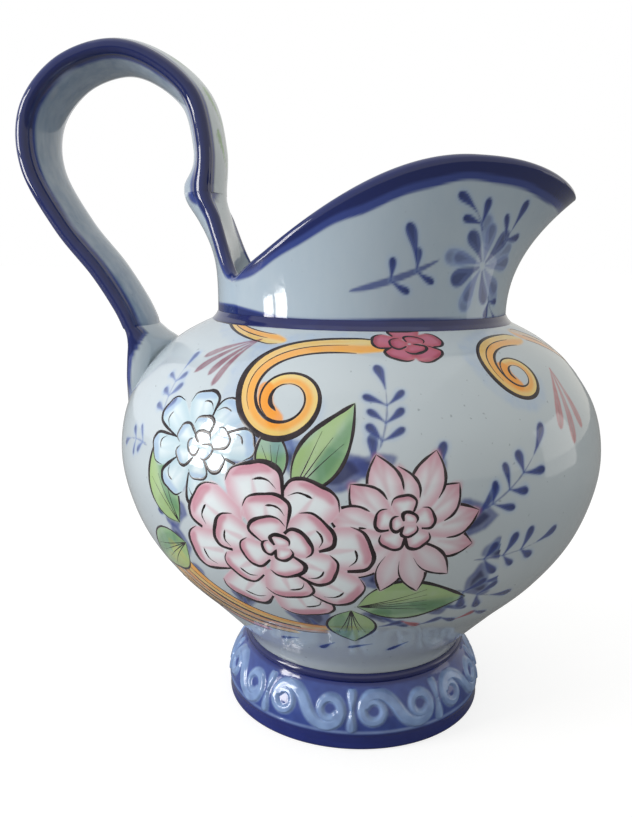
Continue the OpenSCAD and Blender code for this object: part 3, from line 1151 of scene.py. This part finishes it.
def paint_back():
    """A plainer spray and two scrolls on the side away from the bouquet."""
    for side in (-1, 1):
        mirror = side < 0
        half = place(180, 108, mirror)
        leaf(half, (10, 0), 24, 30, 15, 10, 4)
        leaf(half, (9, -6), -34, 28, 13, -10, 3)
        sprig(half, (6, 14), 58, 26, 3, 3.4)
        sprig(half, (8, -16), -62, 22, 2, 3.4)
        scroll(place(180 + side * 40, 150, mirror), (10, 16), 172, 112, 515, 8.2, 2.1, 1.9)
        fan(place(180 + side * 76, 158, mirror), (0, 0), (212, 230, 248), 18, 3.4, maroon)
    rosette(place(180, 106), ((7, 9, 18, 10, 0, 0), (5, 4, 10.5, 40, 0, 0), (3, 0.6, 5, 10, 0, 0)), 1.1,
            pinks, 1.3)


# ---- the painting of neck, strap and foot

def lay_band(paint, inside, colour, cover):
    """Colour over a canvas where inside is above 0, with a soft edge of 1 mm."""
    lay(paint, cover * ease(inside + 0.5), colour)


def paint_neck():
    """A pale blue-grey wash over the whole outside, partly the neck's own bluer glaze and partly painted
    shade that darkens it; over that a cobalt band round the rim, a thin one at the foot of the neck, and
    a spray and a flower in blue between them."""
    rim = neck.points[outer_rows + rim_rows // 2]
    gap = np.array([np.linalg.norm(row[:, None] - rim, axis=2).min(1) for row in neck.points])
    angle = np.radians(neck.angles)[None, :]
    from_handle = np.abs((neck.angles + 90 + 180) % 360 - 180)
    uneven = 0.5 * np.sin(7 * angle) + 0.25 * np.sin(17 * angle + 1)
    width = np.interp(from_handle, (0, 20, notch_half, 60, 90), (5.8, 5.6, 3.4, 6.2, 9.5)) + uneven
    low = np.interp(from_handle, (0, 36, 64), (3.6, 3.2, 0.6)) + 0.4 * np.sin(5 * angle) - neck.arc
    # Painted shade, in part: a blue-grey wash over the whole outside of the neck darkens it, as well as
    # giving its glaze a bluer cast.
    neck.paint[:outer_rows] = (*srgb(166, 183, 198), 0.8)
    lay_band(neck.paint, width - gap, cobalt, 0.97)
    lay_band(neck.paint, width * 0.72 - gap, cobalt_deep, 0.8)
    lay_band(neck.paint, low, cobalt, 0.95)
    lay_band(neck.paint, low - 0.8, cobalt_deep, 0.7)
    spray = Place(neck, -4, 177)
    stem = curl((0, 0), 12, 34, 14, steps=8)
    spray.wash(stem, 2.6, cobalt, 0.8, "line", soft=0.8)
    for k, side in ((3, 1), (3, -1), (5, 1), (5, -1)):
        drop(spray, stem[k], 20 + side * 58, 7.5, 3.6)
    drop(spray, stem[5] + [0, 3], 96, 13, 5.5, cover=0.9)
    flower = Place(neck, 46, 186)
    for heading in 72 * np.arange(5) + 20:
        drop(flower, heading_of(heading) * 4, heading, 13, 8.0, cobalt_pale, 0.6)
    for k in range(9):
        drop(flower, heading_of(40 * k) * 2, 40 * k + hand.uniform(-8, 8), unsteady(13, 0.15),
             unsteady(7.4, 0.15), cobalt if k % 2 else cobalt_pale, 0.8)
    sprig(flower, (9, 8), 44, 10, 1, 4.4)
    sprig(flower, (-3, 12), 112, 11, 1, 4.0)
    sprig(flower, (6, -11), 290, 9, 1, 3.6)


strap_band = 5.0


def edge_band(rings, along, cover, limit=99):
    """Cobalt down both edges of a strap, at most as far in as limit: cover is how strong it is at
    each ring."""
    across = np.abs(rings[..., 1])
    from_edge = across.max(axis=1, keepdims=True) - across
    uneven = 0.3 * np.sin(along / 9.0) + 0.15 * np.sin(along / 4.0 + 1)
    inside = np.minimum(strap_band - from_edge, limit) + uneven[:, None]
    paint = no_paint(rings)
    lay_band(paint, inside, cobalt, cover)
    lay_band(paint, inside - 1.4, cobalt_deep, cover * 0.9)
    return paint


def paint_strap():
    """Cobalt edges, a blue wash on the inner face that is partly its bluer glaze and partly painted
    shade under the loop, and up the outer one a green spray with a few blue and pink touches."""
    paint = edge_band(strap_points, strap_along, 0.95)
    x = strap_points[..., 1]
    y = np.repeat(strap_along[:, None], len(section), axis=1)
    clear = strap_w / 2 - strap_band
    # Painted shade, in part: a darker blue wash over the inner face, inside the cobalt edges, stands for
    # the shade under the loop as well as its bluer glaze.
    lay_band(paint, np.where(outer_side, -9, clear - np.abs(x)), srgb(96, 122, 152), 0.6)

    def stroke(path, widths, colour, cover):
        inside = np.where(outer_side, brush(x, y, path, widths), -9)
        lay(paint, cover * ease(inside / 0.9 + 0.5), colour)

    for k, middle in enumerate(np.arange(9, strap_along[-1] - 20, 15)):
        for side in (-1, 1):
            path = curl((side * 1.5, middle), 90 - side * 42, 15, side * 20, steps=6)
            path[:, 0] = np.clip(path[:, 0], 3 - clear, clear - 3)
            widths = 3.4 * STROKES["drop"](np.linspace(0, 1, 6))
            touch = cobalt_pale if side < 0 else pink
            colour = touch if k % 4 == 3 else leaf_green
            stroke(path, widths, colour, 0.85)
            stroke(path[2:], widths[2:] * 0.4, colour * 0.5, 0.55)
        stroke(np.array([[0, middle - 5], [0, middle + 10]]), [0.4, 0.4], dark_green, 0.7)
    return paint


def paint_tail(rings, heights):
    """The strap's cobalt edges run on down the clay and fade out near its point."""
    fade = ease((heights - 122) / 16)[:, None]
    depth = rings[..., 0] - rings[..., 0].min(axis=1, keepdims=True)
    reach = np.interp(heights, (120, 148, 160), (3.5, 6, 13))[:, None]
    return edge_band(rings, heights, 0.95 * fade, reach - depth)


scroll_count, scroll_middle, relief_depth = 9, 17.2, 0.9
band_low, band_high, bead_at, thin_line_at = 8.6, 26.4, 8.2, 8.9
ridge_blue, ground_blue, base_blue = srgb(138, 166, 208), srgb(56, 78, 148), srgb(28, 40, 112)


def foot_relief(angles, outline):
    """A running vine pressed round the foot, with volutes turned up and down by turns: the ridges are
    thinly glazed and the ground round them is filled with cobalt."""
    step = 360 / scroll_count
    period = math.radians(step) * foot_r
    arc = arc_length(outline)
    x = np.repeat((angles[None, :] % step) / step * period - period / 2, len(outline), axis=0)
    y = np.repeat(arc[:, None], len(angles), axis=1)
    inside = np.full(x.shape, -9.0)
    volute = curl((0, 0), -58, 44, 480, 1.55, 34)
    bud = curl((period / 2, 0.5), 90, 7.0, 0, steps=9)
    for path, thick, kind in ((volute, 2.1, "taper"), (bud, 2.0, "drop")):
        widths = thick * STROKES[kind](np.linspace(0.1, 1, len(path)))
        for shift in (-period, 0, period):
            for way in (-1, 1):
                inside = np.maximum(inside, brush(x - shift, y - scroll_middle, path * way, widths))
    bead = np.exp(-((y - bead_at) / 0.9) ** 2)
    height = relief_depth * (ease(inside + 0.6) - 0.35) + 0.35 * bead
    height *= ease((y - 2.0) / 3.0) * ease((arc[-1] - y) / 3)
    paint = no_paint(x)
    middle = ease((y - 8.3) / 1.2) * ease((26.6 - y) / 1.5)
    streak = 0.5 + 0.3 * np.sin(x * 0.9 + y * 0.35) * np.sin(y * 0.8 + 2)
    lay_band(paint, np.ones(x.shape), base_blue, 0.8)
    lay_band(paint, np.minimum(y - band_low, band_high - y) * 0.6, ground_blue, 0.5 + 0.4 * streak)
    lay_band(paint, (inside + 0.7) * 0.7 * middle - (1 - middle) * 3, ridge_blue, 0.6 + 0.35 * streak)
    lay_band(paint, 0.3 - np.abs(y - thin_line_at) * 0.8, ridge_blue, 0.5)
    return height, paint


paint_bouquet()
paint_ground()
paint_shoulder()
paint_back()
paint_neck()
strap_paint = paint_strap()

make_belly()
make_neck()
make_strap(strap_paint)
make_top_joint(strap_paint)
make_base_joint(paint_tail)
make_foot(foot_relief)
make_joint_rings()
lines.build("belly_outlines")
